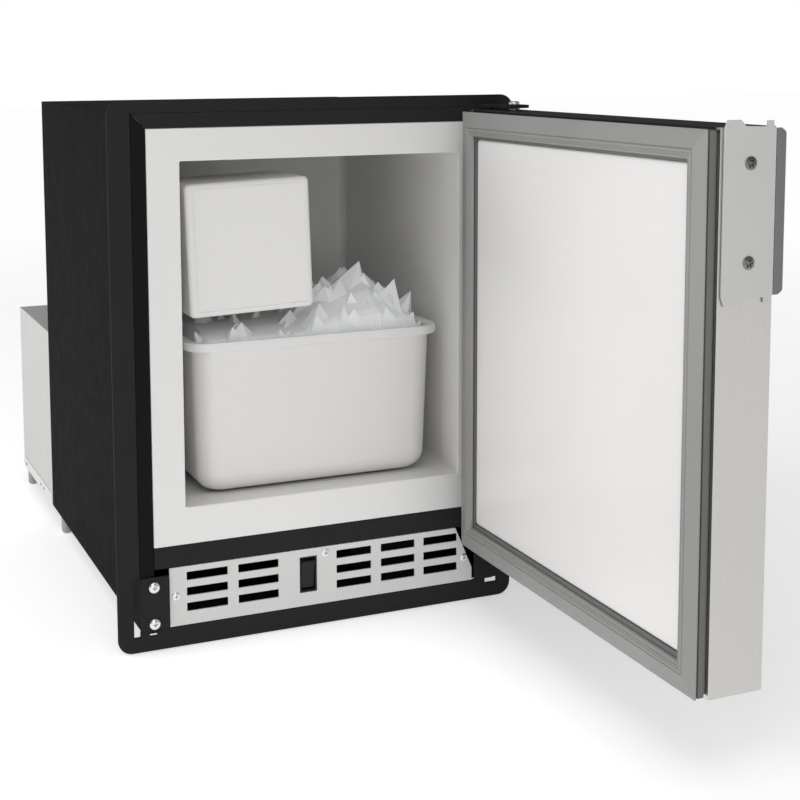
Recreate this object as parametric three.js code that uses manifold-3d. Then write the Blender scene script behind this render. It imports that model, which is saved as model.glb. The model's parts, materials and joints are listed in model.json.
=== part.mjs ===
// Built-in ice maker: steel cabinet with a mounting flange, a side-hinged door standing open,
// an insulated cavity with the ice mechanism and the ice bin, and a compressor housing behind.
// Millimetres. X runs to the right, Y to the back, Z up. The origin is the middle of the
// flange's lower edge, halfway through its thickness. The door is drawn open at 90 degrees.
import * as THREE from "three";
import { mergeVertices } from "three/addons/utils/BufferGeometryUtils.js";
import Module from "manifold-3d";

const wasm = await Module();
wasm.setup();

// ---- driving dimensions -------------------------------------------------------------------
const GAP = 0.3;                  // between pieces that touch
const SHEET = 1.2;                // steel sheet
const FLANGE = { width: 365, height: 457.4, thick: 3, corner: 12 };
const FRONT = -FLANGE.thick / 2;  // plane of the flange, the cabinet's border and the liner's face
const CABINET = { half: 163.3, bottom: 18, top: 446.8, depth: 376, border: 12 };
const BACK = FRONT + CABINET.depth;
const FACE = { half: 150.9, bottom: 87.5, top: 434.4 };          // liner's front frame
const CAVITY = { left: -123.2, right: 129, bottom: 119, top: 407.5, depth: 273, corner: 8 };
const LINER_WALL = 2;
const RAIL = { bottom: 69.1, top: 87.1, depth: 14 };
const GRILLE = { left: -138.4, right: 143.4, bottom: 18.1, top: 68.7, thick: 1.5 };
const SLOT = { height: 7.2, pitch: 13.4, lowest: 29.6, rows: 3 };
const SLOT_COLUMNS = [[-123.5, -87.6], [-78.2, -42.1], [11.5, 44.3], [53.7, 86.4], [95.2, 128.4]];
const SWITCH = { x: -14.8, z: 46, width: 15.9, height: 31.8 };
const HOOD = { back: 544.5, top: 205.2 };                         // compressor housing
const FOOT = { radius: 5.5, rows: [334, 526], x: 157 };

const HINGE = { x: 158.6, y: FRONT - 45.5 };
const DOOR = { inner: 125.7, outer: 170, free: -378.7, butt: -29.2, bottom: 64.8, top: 445.2 };
const SKIN = 0.8;
const GASKET = { face: 114.6, thick: 3.9, width: 20, free: -376.6, butt: -31.7, bottom: 65, top: 444.2 };
const RETAINER = { inner: 118.8, inset: 1.4, width: 22 };
const PANEL_FACE = 120.6;
const LATCH = { left: 127.7, right: 168.2, bottom: 333.4, top: 445.9, thick: 1.5 };
const LIP = { outer: 178.2, bottom: 338, top: 441, reach: 24 };

const BIN = { left: -107.4, right: 113.1, front: 12.5, back: 232, bottom: 120.4, top: 252.9,
  wall: 2.5, rimOut: 6.6, rimHeight: 9, fillet: 12, taper: 0.965 };
const MODULE = { x: -58.2, y: 14.5, z: 332.2, width: 110, height: 112.6, depth: 72, roll: -2 };
const COMPRESSOR = { x: -72, y: 458, radius: 56 };
const FAN = { x: 92, y: 470, z: 108, radius: 54 };

// ---- finishes -----------------------------------------------------------------------------
const finish = (color, roughness, metalness) => ({ color, roughness, metalness });
const BLACK_STEEL = finish(0x242424, 0.55, 0.2);
const STAINLESS = finish(0xb4b1ad, 0.35, 0.9);
const GREY_PAINT = finish(0xcbcbc9, 0.5, 0.1);
const LINER_WHITE = finish(0xd8d6d3, 0.45, 0);
const BIN_WHITE = finish(0xe4e2df, 0.35, 0);
const PANEL_WHITE = finish(0xefedeb, 0.2, 0);
const BLACK_PLASTIC = finish(0x1c1c1c, 0.45, 0);
const GASKET_GREY = finish(0x8e8d89, 0.75, 0);
const RUBBER = finish(0x1a1a1a, 0.85, 0);
const FOOT_GREY = finish(0x8a8a84, 0.7, 0);
const ZINC = finish(0xd5d5d2, 0.3, 0.9);
const ALUMINIUM = finish(0xb8babb, 0.4, 0.9);
const COPPER = finish(0xb06a3c, 0.35, 0.9);
const FOAM = finish(0xe6d9a8, 0.9, 0);
const BRASS = finish(0xb59a52, 0.35, 0.9);

// ---- geometry helpers ---------------------------------------------------------------------
function box(x0, x1, y0, y1, z0, z1) {
  const g = new THREE.BoxGeometry(x1 - x0, y1 - y0, z1 - z0);
  return g.translate((x0 + x1) / 2, (y0 + y1) / 2, (z0 + z1) / 2);
}

function outline(points) {
  return new THREE.Shape(points.map(([a, b]) => new THREE.Vector2(a, b)));
}

function circle(cx, cy, r, sides) {
  const point = (_, i) => {
    const turn = i * 2 * Math.PI / sides;
    return [cx + r * Math.cos(turn), cy + r * Math.sin(turn)];
  };
  return outline(Array.from({ length: sides }, point));
}

function roundedRect(x0, x1, y0, y1, r) {
  const s = new THREE.Shape();
  s.moveTo(x0 + r, y0);
  s.lineTo(x1 - r, y0);
  s.absarc(x1 - r, y0 + r, r, -Math.PI / 2, 0);
  s.lineTo(x1, y1 - r);
  s.absarc(x1 - r, y1 - r, r, 0, Math.PI / 2);
  s.lineTo(x0 + r, y1);
  s.absarc(x0 + r, y1 - r, r, Math.PI / 2, Math.PI);
  s.lineTo(x0, y0 + r);
  s.absarc(x0 + r, y0 + r, r, Math.PI, 1.5 * Math.PI);
  return s;
}

function extrude(shape, depth, curveSegments = 4) {
  return new THREE.ExtrudeGeometry(shape, { depth, bevelEnabled: false, curveSegments });
}

// A shape drawn in X and Z, standing from y0 to y1.
function extrudeY(shape, y0, y1, segments) {
  return extrude(shape, y1 - y0, segments).rotateX(Math.PI / 2).translate(0, y1, 0);
}

// A shape drawn in Y and Z, standing from x0 to x1.
function extrudeX(shape, x0, x1, segments) {
  const g = extrude(shape, x1 - x0, segments);
  return g.rotateZ(Math.PI / 2).rotateY(Math.PI / 2).translate(x0, 0, 0);
}

function extrudeZ(shape, z0, z1, segments) {
  return extrude(shape, z1 - z0, segments).translate(0, 0, z0);
}

// A turned piece: [radius, height] pairs about Z.
function turned(profile, segments = 20) {
  const points = profile.map(([r, h]) => new THREE.Vector2(r, h));
  return new THREE.LatheGeometry(points, segments).rotateX(Math.PI / 2);
}

// The same piece with its axis along Y, growing towards the front (-Y) or the back (+Y).
function turnedY(profile, x, y, z, towards = -1, segments = 16) {
  const g = turned(profile, segments);
  return g.rotateX(towards < 0 ? Math.PI / 2 : -Math.PI / 2).translate(x, y, z);
}

// A round bar along Y, used to drill holes and as plain pins.
function boreY(x, z, radius, y0, y1, sides = 16) {
  return turnedY([[0, 0], [radius, 0], [radius, y1 - y0], [0, y1 - y0]], x, y0, z, 1, sides);
}

function tube(points, radius, sides, steps) {
  const knots = points.map((p) => new THREE.Vector3(...p));
  const extrudePath = new THREE.CatmullRomCurve3(knots, false, "centripetal");
  return new THREE.ExtrudeGeometry(circle(0, 0, radius, sides), { steps, extrudePath, bevelEnabled: false });
}

function solid(geometry) {
  const bare = geometry.clone();
  bare.deleteAttribute("normal");
  bare.deleteAttribute("uv");
  const merged = mergeVertices(bare, 1e-4);
  return new wasm.Manifold(new wasm.Mesh({
    numProp: 3,
    vertProperties: new Float32Array(merged.attributes.position.array),
    triVerts: new Uint32Array(merged.index.array),
  }));
}

function fromSolid(body) {
  const mesh = body.getMesh();
  const g = new THREE.BufferGeometry();
  g.setAttribute("position", new THREE.BufferAttribute(new Float32Array(mesh.vertProperties), 3));
  g.setIndex(new THREE.BufferAttribute(new Uint32Array(mesh.triVerts), 1));
  return g;
}

function join(...parts) {
  return fromSolid(parts.map(solid).reduce((a, b) => a.add(b)));
}

function cut(base, ...tools) {
  return fromSolid(tools.map(solid).reduce((a, b) => a.subtract(b), solid(base)));
}

const iceMaker = new THREE.Group();
function add(name, geometry, look, parent = iceMaker) {
  const mesh = new THREE.Mesh(geometry, new THREE.MeshStandardMaterial(look));
  mesh.name = name;
  parent.add(mesh);
  return mesh;
}

// ---- cabinet ------------------------------------------------------------------------------
// A plate round the cabinet, notched open at its two lower corners: a tall slot beside the blank
// plate on the left, and on the right a low one under the hinge bracket.
function mountingFlange() {
  const half = FLANGE.width / 2;
  const inner = CABINET.half + GAP;
  const plate = roundedRect(-half, half, 0, FLANGE.height, FLANGE.corner);
  const low = CABINET.bottom - GAP;
  const notch = { bottom: 13, top: 64.8, outer: 169, inner: 157 };
  const right = [[inner, low], [notch.outer, low], [notch.outer, notch.bottom],
    [notch.inner, notch.bottom], [notch.inner, low]];
  const left = [[-inner, low], [-inner, notch.bottom], [-notch.outer, notch.bottom],
    [-notch.outer, notch.top], [-inner, notch.top]];
  const topLine = CABINET.top + GAP;
  plate.holes.push(outline([[-inner, topLine], [inner, topLine], ...right, ...left]));
  return extrudeY(plate, -FLANGE.thick / 2, FLANGE.thick / 2);
}

const FOLD_LAP = 0.9;             // how far a panel's wall runs into its own front fold

function sidePanel(side) {
  const { half, bottom, top, border } = CABINET;
  const start = FRONT + FOLD_LAP;
  const step = top - SHEET - 2 * GAP;
  const wall = extrudeX(outline([[start, bottom], [BACK, bottom], [BACK, top], [GAP, top],
    [GAP, step], [start, step]]), half - SHEET, half);
  const fold = extrudeY(outline([[half, bottom], [half, top], [half - border, top - border],
    [half - border, bottom]]), FRONT, FRONT + SHEET);
  const panel = join(wall, fold);
  return side < 0 ? mirrorX(panel) : panel;
}

function mirrorX(geometry) {
  const g = geometry.clone().scale(-1, 1, 1);
  const index = g.index.array;
  for (let i = 0; i < index.length; i += 3) {
    [index[i], index[i + 1]] = [index[i + 1], index[i]];
  }
  return g;
}

const MITRE_GAP = 0.5;

function topPanel() {
  const { half, top, border } = CABINET;
  const inner = half - SHEET - GAP;
  const sheet = box(-inner, inner, FRONT + FOLD_LAP, BACK, top - SHEET, top);
  const wide = half - MITRE_GAP;
  const narrow = wide - border;
  const fold = extrudeY(outline([[-wide, top], [wide, top], [narrow, top - border],
    [-narrow, top - border]]), FRONT, FRONT + SHEET);
  return join(sheet, fold);
}

// Back of the insulated box and its floor, bent from one sheet.
function backPanel() {
  const inner = CABINET.half - SHEET - GAP;
  const low = FACE.bottom - SHEET;
  const high = CABINET.top - SHEET - GAP;
  const start = RAIL.depth;
  return extrudeX(outline([[start, low], [BACK, low], [BACK, high], [BACK - SHEET, high],
    [BACK - SHEET, low + SHEET], [start, low + SHEET]]), -inner, inner);
}

const PAN = { front: 2, thick: 1.4 };

function basePan() {
  const inner = CABINET.half - SHEET - GAP;
  const { bottom } = CABINET;
  return box(-inner, inner, PAN.front, HOOD.back - SHEET - GAP, bottom, bottom + PAN.thick);
}

function crossRail() {
  const { bottom, top, depth } = RAIL;
  const end = FRONT + depth;
  const web = FRONT + SHEET;
  const channel = outline([[FRONT, bottom], [end, bottom], [end, bottom + SHEET], [web, bottom + SHEET],
    [web, top - SHEET], [end, top - SHEET], [end, top], [FRONT, top]]);
  return extrudeX(channel, -FACE.half, FACE.half);
}

// The cavity's block, grown on all sides but the front, where it reaches forward to y.
function cavityBlock(grow, y) {
  const { left, right, bottom, top, depth, corner } = CAVITY;
  const mouth = roundedRect(left - grow, right + grow, bottom - grow, top + grow, corner + grow);
  return extrudeY(mouth, y, FRONT + depth + grow);
}

function innerLiner() {
  const frame = box(-FACE.half, FACE.half, FRONT, FRONT + LINER_WALL, FACE.bottom, FACE.top);
  return cut(join(frame, cavityBlock(LINER_WALL, FRONT)), cavityBlock(0, FRONT - 5));
}

function insulation() {
  const clear = 0.5;
  const half = CABINET.half - SHEET - clear;
  const front = FRONT + LINER_WALL + clear;
  const back = BACK - SHEET - clear;
  const block = box(-half, half, front, back, FACE.bottom + clear, CABINET.top - SHEET - clear);
  return cut(block, cavityBlock(LINER_WALL + GAP, front - 10));
}

// ---- lower front --------------------------------------------------------------------------
const GRILLE_SCREWS = { left: [-132.9, 43.9], middle: [1.1, 63], right: [135.4, 40] };

function grillePanel() {
  const { left, right, bottom, top, thick } = GRILLE;
  const slant = { top: right - 16.5, bottom: 30 };
  const blank = outline([[left, bottom], [right, bottom], [right, slant.bottom], [slant.top, top],
    [left, top]]);
  const w = SWITCH.width / 2;
  const h = SWITCH.height / 2;
  const cuts = [box(SWITCH.x - w, SWITCH.x + w, -5, 5, SWITCH.z - h, SWITCH.z + h)];
  for (const [x0, x1] of SLOT_COLUMNS) {
    for (let row = 0; row < SLOT.rows; row += 1) {
      const z = SLOT.lowest + row * SLOT.pitch;
      cuts.push(box(x0, x1, -5, 5, z, z + SLOT.height));
    }
  }
  for (const [x, z] of Object.values(GRILLE_SCREWS)) {
    cuts.push(boreY(x, z, 2, -5, 5, 12));
  }
  return cut(extrudeY(blank, FRONT, FRONT + thick), ...cuts);
}

// A low-headed screw pointing to the back, its head resting just off the plane y.
function screw(x, y, z, { head, high, shank, length }) {
  return turnedY([[0, 0], [shank, 0], [shank, length], [head, length], [head * 0.93, length + high * 0.7],
    [head * 0.55, length + high], [0, length + high]], x, y + length - GAP, z);
}

const GRILLE_SCREW = { head: 3.6, high: 0.8, shank: 1.6, length: 9 };
const CORNER_SCREW = { head: 4.7, high: 2.2, shank: 2, length: 2.2 };
const LATCH_SCREW = { head: 4.4, high: 0.9, shank: 2.2, length: 1.4 };

function switchBody() {
  const w = SWITCH.width / 2 - GAP;
  const h = SWITCH.height / 2 - GAP;
  const { x, z } = SWITCH;
  const wall = 1.3;
  const block = box(x - w, x + w, FRONT + 0.4, 22, z - h, z + h);
  return cut(block, box(x - w + wall, x + w - wall, -5, 9, z - h + wall, z + h - wall));
}

const ROCKER_AXIS = { y: 5, z: SWITCH.z };
const ROCKER_TILT = 7;

function rockerCap() {
  const half = SWITCH.width / 2 - 1.9;
  const profile = outline([[-5.5, -12.2], [-4.6, 0], [-5.5, 12.2], [-1, 12.6], [2.6, 4], [2.6, -4],
    [-1, -12.6]]);
  const cap = extrudeX(profile, -half, half);
  return cap.rotateX(THREE.MathUtils.degToRad(ROCKER_TILT)).translate(SWITCH.x, ROCKER_AXIS.y, ROCKER_AXIS.z);
}

// Plate over the unused hinge place at the lower left.
const CORNER_PLATE = { inner: 139, outer: 163.3, bottom: 18.4, top: 63.6, thick: 2.2 };
const CORNER_SCREWS = { upper: [-152.2, 55.2], lower: [-152.2, 23.9] };

function blankHingePlate() {
  const { inner, outer, bottom, top, thick } = CORNER_PLATE;
  const y1 = FRONT - GAP;
  const plate = extrudeY(roundedRect(-outer, -inner, bottom, top, 2), y1 - thick, y1);
  const holes = Object.values(CORNER_SCREWS).map(([x, z]) => boreY(x, z, 2.4, -10, 10));
  return cut(plate, ...holes);
}

// ---- hinges -------------------------------------------------------------------------------
const HINGE_PLATE = { left: 146, right: 171.4, thick: 2.5 };
const UPPER_LEAF = CABINET.top + 0.3;
const LOWER_LEAF = DOOR.bottom - 4.4;
const PIN = 3;

function hingeLeaf(z0) {
  const { left, right, thick } = HINGE_PLATE;
  const r = (right - left) / 2;
  const s = new THREE.Shape();
  s.moveTo(left, FRONT - GAP);
  s.lineTo(left, HINGE.y);
  s.absarc(left + r, HINGE.y, r, Math.PI, 2 * Math.PI);
  s.lineTo(right, FRONT - GAP);
  s.holes.push(circle(HINGE.x, HINGE.y, PIN + GAP, 18));
  return extrudeZ(s, z0, z0 + thick, 10);
}

function upperHinge() {
  const { left, right } = HINGE_PLATE;
  const y1 = FRONT - GAP;
  const leg = box(left, right, y1 - 2, y1, UPPER_LEAF, FLANGE.height - 1.5);
  return join(hingeLeaf(UPPER_LEAF), leg);
}

function lowerHinge() {
  const { inner, outer, bottom, thick } = CORNER_PLATE;
  const y1 = FRONT - GAP;
  const top = LOWER_LEAF + HINGE_PLATE.thick;
  const leg = box(inner + 6, outer, y1 - thick, y1, bottom, top);
  const gusset = outline([[y1, bottom + 8], [y1, top - 1], [HINGE.y + 6, top - 1]]);
  const web = extrudeX(gusset, outer - 2.4, outer);
  return join(leg, hingeLeaf(LOWER_LEAF), web);
}

// Each pin runs from a head outside the leaf, through the leaf and a collar, into the door.
function hingePin(z, up) {
  const s = HINGE_PLATE.thick + GAP;
  const profile = [[0, -2.8], [3.6, -2.8], [4.8, -1.6], [4.8, 0], [PIN, 0], [PIN, s + GAP],
    [5.2, s + GAP], [5.2, s + 1.2], [PIN, s + 1.2], [PIN, s + 12], [0, s + 12]];
  const pin = turned(profile, 18);
  if (!up) {
    pin.rotateX(Math.PI);
  }
  return pin.translate(HINGE.x, HINGE.y, z);
}

const BUSH = { radius: 6, length: 13 };

function hingeBush(z0) {
  const { radius, length } = BUSH;
  const inner = PIN + GAP;
  const z1 = z0 + length;
  const sleeve = turned([[inner, z0], [radius, z0], [radius, z1], [inner, z1], [inner, z0]], 18);
  return sleeve.translate(HINGE.x, HINGE.y, 0);
}

function hingeBore(radius) {
  return turned([[0, 0], [radius, 0], [radius, 600], [0, 600]], 18).translate(HINGE.x, HINGE.y, 0);
}

// ---- door, drawn standing open along -Y ---------------------------------------------------
function doorSkin() {
  const { inner, outer, free, butt, bottom, top } = DOOR;
  const lip = 5;
  const t = SKIN;
  const r = 2;
  const s = new THREE.Shape();
  s.moveTo(inner, free);
  s.lineTo(outer - r, free);
  s.absarc(outer - r, free + r, r, -Math.PI / 2, 0);
  s.lineTo(outer, butt - r);
  s.absarc(outer - r, butt - r, r, 0, Math.PI / 2);
  s.lineTo(inner, butt);
  s.lineTo(inner, butt - lip);
  s.lineTo(inner + t, butt - lip);
  s.lineTo(inner + t, butt - t);
  s.lineTo(outer - r, butt - t);
  s.absarc(outer - r, butt - r, r - t, Math.PI / 2, 0, true);
  s.lineTo(outer - t, free + r);
  s.absarc(outer - r, free + r, r - t, 0, -Math.PI / 2, true);
  s.lineTo(inner + t, free + t);
  s.lineTo(inner + t, free + lip);
  s.lineTo(inner, free + lip);
  return extrudeZ(s, bottom, top, 4);
}

const CAP = 4;
function doorCap(z0, z1) {
  const m = SKIN + GAP;
  const { inner, outer, free, butt } = DOOR;
  const strip = roundedRect(inner + m, outer - m, free + m, butt - m, 1);
  return cut(extrudeZ(strip, z0, z1, 2), hingeBore(BUSH.radius + GAP));
}

function doorFoam() {
  const m = SKIN + 0.5;
  const { inner, outer, free, butt, bottom, top } = DOOR;
  const reach = 14;
  const core = box(inner + m, outer - m, free + m, butt - m, bottom + CAP + GAP, top - CAP - GAP);
  const low = box(HINGE.x - 9, outer, HINGE.y - 9, butt, bottom, bottom + reach);
  const high = box(HINGE.x - 9, outer, HINGE.y - 9, butt, top - reach, top);
  return cut(core, low, high);
}

// A rectangular ring standing in the door's plane: y and z limits, ring width, x limits.
function ring(y0, y1, z0, z1, width, x0, x1) {
  const frame = outline([[y0, z0], [y1, z0], [y1, z1], [y0, z1]]);
  frame.holes.push(outline([[y0 + width, z0 + width], [y0 + width, z1 - width], [y1 - width, z1 - width],
    [y1 - width, z0 + width]]));
  return extrudeX(frame, x0, x1);
}

// Its edge beside the hinge is chamfered, so that it swings clear of the cabinet's front.
function doorGasket() {
  const { face, thick, width, free, butt, bottom, top } = GASKET;
  const chamfer = { along: 5.6, deep: 3.2 };
  const frame = ring(free, butt, bottom, top, width, face, face + thick);
  const wedge = outline([[face, butt - chamfer.along], [face + chamfer.deep, butt],
    [face + chamfer.deep, butt + 2], [face - 2, butt + 2], [face - 2, butt - chamfer.along]]);
  return cut(frame, extrudeZ(wedge, 0, FLANGE.height));
}

function gasketRetainer() {
  const i = RETAINER.inset;
  const { free, butt, bottom, top } = DOOR;
  return ring(free + i, butt - i, bottom + i, top - i, RETAINER.width, RETAINER.inner, DOOR.inner - GAP);
}

function innerPanel() {
  const m = RETAINER.inset + RETAINER.width + GAP;
  const { free, butt, bottom, top, inner } = DOOR;
  return box(PANEL_FACE, inner - GAP, free + m, butt - m, bottom + m, top - m);
}

const LATCH_SCREWS = { upper: 421.9, lower: 357.3 };
const LATCH_SCREW_X = 148.2;

// Plate on the door's free edge: a lug at each end and a small ear beside it.
function latchPlate() {
  const { left, right, bottom, top, thick } = LATCH;
  const end = (edge, away) => [[left, edge - 2 * away], [left + 2.4, edge + 4 * away],
    [left + 12.6, edge + 4 * away], [left + 16.5, edge], [161, edge - 0.6 * away], [161.2, edge + 3.2 * away],
    [166, edge + 3.2 * away], [166.4, edge - 1 * away], [right, edge - 1.6 * away]];
  const plate = outline([...end(bottom, -1), ...end(top, 1).reverse()]);
  const y1 = DOOR.free - GAP;
  const blank = extrudeY(plate, y1 - thick, y1);
  const holes = Object.values(LATCH_SCREWS).map((z) => boreY(LATCH_SCREW_X, z, 2.6, y1 - 10, y1 + 10));
  return cut(blank, ...holes);
}

// Finger pull: turns on the plate's outer edge, its lip standing clear of the door's face.
function latchLever() {
  const { thick, right } = LATCH;
  const x0 = right + 0.5;
  const y0 = DOOR.free - GAP - thick;
  const r = 4.2;
  const s = new THREE.Shape();
  s.moveTo(x0, y0);
  s.lineTo(LIP.outer - r, y0);
  s.absarc(LIP.outer - r, y0 + r, r, -Math.PI / 2, 0);
  s.lineTo(LIP.outer, y0 + LIP.reach);
  s.lineTo(LIP.outer - thick, y0 + LIP.reach);
  s.lineTo(LIP.outer - thick, y0 + r);
  s.absarc(LIP.outer - r, y0 + r, r - thick, 0, -Math.PI / 2, true);
  s.lineTo(x0, y0 + thick);
  const inset = 1.6;
  const high = LATCH.top - inset;
  const low = LATCH.bottom + inset;
  const blank = extrudeZ(s, low, high, 5);
  const corner = (z, away) => {
    const edge = z + away * 0.2;
    const wedge = outline([[LIP.outer - 6, edge], [LIP.outer + 3, edge], [LIP.outer + 3, edge - away * 6]]);
    return extrudeY(wedge, y0 - 5, y0 + LIP.reach + 5);
  };
  return cut(blank, corner(high, 1), corner(low, -1));
}

// ---- ice bin ------------------------------------------------------------------------------
// A tub with rounded upright edges and a rounded floor edge, narrowing downwards.
function tub(margin, z0, z1) {
  const { left, right, front, back, fillet, taper, bottom, top } = BIN;
  const f = fillet - margin * 0.5;
  const corner = 14 - margin;
  const inset = margin + f;
  const round = Math.max(corner - f, 1);
  const shape = roundedRect(left + inset, right - inset, front + inset, back - inset, round);
  const g = new THREE.ExtrudeGeometry(shape, { depth: z1 - z0 - 2 * f, bevelThickness: f, bevelSize: f,
    bevelSegments: 3, curveSegments: 3 });
  g.translate(0, 0, z0 + f);
  const p = g.attributes.position;
  const cx = (left + right) / 2;
  const cy = (front + back) / 2;
  for (let i = 0; i < p.count; i += 1) {
    const t = Math.min(1, (top - p.getZ(i)) / (top - bottom));
    const k = 1 - (1 - taper) * t;
    p.setX(i, cx + (p.getX(i) - cx) * k);
    p.setY(i, cy + (p.getY(i) - cy) * k);
  }
  return g;
}

function iceBin() {
  const { left, right, front, back, bottom, top, wall, rimOut, rimHeight } = BIN;
  const tall = 60;                // drawn past the rim, then trimmed level with it
  const shell = tub(0, bottom, top + tall);
  const lip = roundedRect(left - rimOut, right + rimOut, front - 2, back + rimOut, 12);
  const rim = extrudeZ(lip, top - rimHeight, top);
  const flare = cut(rim, extrudeZ(roundedRect(left - rimOut + wall, right + rimOut - wall, front + 0.5,
    back + rimOut - wall, 10), top - rimHeight - 1, top - wall));
  const body = join(cut(shell, box(-300, 300, -100, 400, top, top + 2 * tall)), flare);
  return cut(body, tub(wall, bottom + wall, top + tall));
}

// ---- ice mechanism, hung with a slight roll ----------------------------------------------
const mechanism = new THREE.Group();
mechanism.position.set(MODULE.x, MODULE.y, MODULE.z);
mechanism.rotation.y = THREE.MathUtils.degToRad(MODULE.roll);
iceMaker.add(mechanism);

// The shaft height, the trough and the wire arm are given from the middle of the cover's front.
const RAKE = { z: 12, reach: 21, from: 62, to: 206, fingers: 7, pitch: 18 };
const MOULD = { front: 70, back: 218, outer: 27, inner: 23.5, end: 4 };
const ARM = { x: 30, z: -12, out: 54, low: -40 };

// Cover over the drive: front, top and sides, open behind and below.
function moduleCover() {
  const w = MODULE.width / 2;
  const h = MODULE.height / 2;
  const t = 2.4;
  const shell = extrudeY(roundedRect(-w, w, -h, h, 4), 0, MODULE.depth, 3);
  return cut(shell, box(-w + t, w - t, t, MODULE.depth + 5, -h - 5, h - t));
}

function ejectorDrive() {
  const block = box(-36, 36, 6, 58, -30, 44);
  return cut(block, boreY(0, RAKE.z, 3.6, 50, 70));
}

function iceMould() {
  const { front, back, outer, inner, end } = MOULD;
  const gutter = (r, high) => {
    const s = new THREE.Shape();
    s.moveTo(-r, RAKE.z + high);
    s.lineTo(-r, RAKE.z);
    s.absarc(0, RAKE.z, r, Math.PI, 2 * Math.PI);
    s.lineTo(r, RAKE.z + high);
    return s;
  };
  const trough = extrudeY(gutter(outer, 6), front, back, 8);
  const hollow = extrudeY(gutter(inner, 10), front + end, back - end, 8);
  const lug = box(10, ARM.x + 4, back - 8, back, ARM.z - 4, ARM.z + 4);
  return cut(join(trough, lug), hollow, boreY(0, RAKE.z, 3.6, front - 10, front + 20));
}

function ejectorRake() {
  const shaft = boreY(0, RAKE.z, 3, RAKE.from, RAKE.to, 12);
  const fingers = [];
  for (let i = 0; i < RAKE.fingers; i += 1) {
    const y = MOULD.front + 14 + i * RAKE.pitch;
    fingers.push(box(-2, 2, y - 2, y + 2, RAKE.z, RAKE.z + RAKE.reach));
  }
  return join(shaft, ...fingers);
}

// A wire loop: one end turns in the drive, the other in the mould's rear lug.
function shutoffArm() {
  const { x, z, out, low } = ARM;
  const wire = 1.6;
  return tube([[x, 58.7, z], [x, 68, z], [x + 4, 76, z - 6], [out, 88, low], [out, 140, low - 3],
    [out, 190, low], [x + 4, 200, z - 6], [x, 204, z], [x, 209.6, z]], wire, 8, 44);
}

// Angle that carries the trough from the cavity's left wall.
function moduleBracket() {
  const { left, right, high, low, lip, t } = { left: -63.2, right: -28, high: 26, low: -40, lip: 8, t: 2 };
  const section = outline([[left, low], [left, high], [right, high], [right, lip], [right - t, lip],
    [right - t, high - t], [left + t, high - t], [left + t, low]]);
  return extrudeY(section, MOULD.front + 14, MOULD.back - 6);
}

function fillTube() {
  return turnedY([[0, 0], [7, 0], [7, 36], [4.5, 36], [4.5, 3], [0, 3]], 0, 256, 34, -1, 14);
}

// ---- compressor housing -------------------------------------------------------------------
const VENT = { lowest: 60, pitch: 16, high: 6, rows: 7, left: 40, right: 145, front: 60, back: 140 };
const INLET = { x: -128, z: 160, bore: 9 };
const GLAND = { x: -96, z: 160, bore: 7 };

// Open below and in front; slots in its back and its right side let the warm air out.
function compressorHood() {
  const half = CABINET.half;
  const { back, top } = HOOD;
  const low = CABINET.bottom;
  const shell = box(-half, half, BACK + GAP, back, low, top);
  const room = box(-half + SHEET, half - SHEET, BACK - 5, back - SHEET, low - 5, top - SHEET);
  const cuts = [];
  for (let i = 0; i < VENT.rows; i += 1) {
    const z = VENT.lowest + i * VENT.pitch;
    cuts.push(box(VENT.left, VENT.right, back - 5, back + 5, z, z + VENT.high));
    cuts.push(box(half - 5, half + 5, BACK + VENT.front, BACK + VENT.back, z, z + VENT.high));
  }
  for (const { x, z, bore } of [INLET, GLAND]) {
    cuts.push(boreY(x, z, bore, back - 10, back + 10));
  }
  return cut(shell, room, ...cuts);
}

// A welded shell on its foot plate, with a suction stub and a terminal box.
function compressor() {
  const r = COMPRESSOR.radius;
  const seam = r + 2;
  const shell = turned([[0, 34], [r * 0.7, 36], [r * 0.93, 46], [r, 62], [r, 66], [seam, 66], [seam, 72],
    [r, 72], [r, 118], [r * 0.9, 138], [r * 0.6, 150], [0, 154]], 28);
  const plate = box(-64, 64, -44, 44, 30, 40);
  const stub = boreY(-20, 122, 4, -70, -40, 12);
  const terminals = box(r - 6, r + 24, -22, 22, 78, 116);
  return join(shell, plate, stub, terminals).translate(COMPRESSOR.x, COMPRESSOR.y, 0);
}

function compressorMount(dy) {
  const y = COMPRESSOR.y + dy;
  return box(COMPRESSOR.x - 62, COMPRESSOR.x + 62, y - 6, y + 6, ON_PAN, 29.7);
}

const ON_PAN = CABINET.bottom + PAN.thick + GAP;
const CONDENSER = { left: 38, front: 508, root: 514, back: 536, top: 176, fins: 16, pitch: 7, fin: 1.4 };

// A comb: a thin wall in front with upright fins standing back from it.
function condenser() {
  const { left, front, root, back, top, fins, pitch, fin } = CONDENSER;
  const comb = [];
  for (let i = 0; i < fins; i += 1) {
    const x = left + i * pitch;
    comb.push([x, i === 0 ? front : root], [x, back]);
    comb.push([x + fin, back], [x + fin, i === fins - 1 ? front : root]);
  }
  return extrudeZ(outline(comb), ON_PAN, top);
}

const SHROUD = { left: 34, right: 152, front: 500, back: 504, top: 178 };

function fanShroud() {
  const { left, right, front, back, top } = SHROUD;
  const plate = box(left, right, front, back, ON_PAN, top);
  return cut(plate, boreY(FAN.x, FAN.z + 4, FAN.radius + 2, front - 15, back + 11, 28));
}

function fanMotor() {
  const front = FAN.y - 41.3;
  const can = turnedY([[0, 0], [20, 0], [20, 28], [4, 28], [4, 34], [0, 34]], FAN.x, front, FAN.z, 1, 20);
  const reach = FAN.radius + 3;
  const thick = 4;
  const bar = (dx, wide, y1) => box(FAN.x + dx, FAN.x + dx + wide, front, y1, FAN.z - 8, FAN.z + 8);
  const strut = bar(-reach, 2 * reach, front + thick);
  const legs = [-reach, reach - thick].map((dx) => bar(dx, thick, SHROUD.front - GAP));
  return join(can, strut, ...legs);
}

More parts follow.
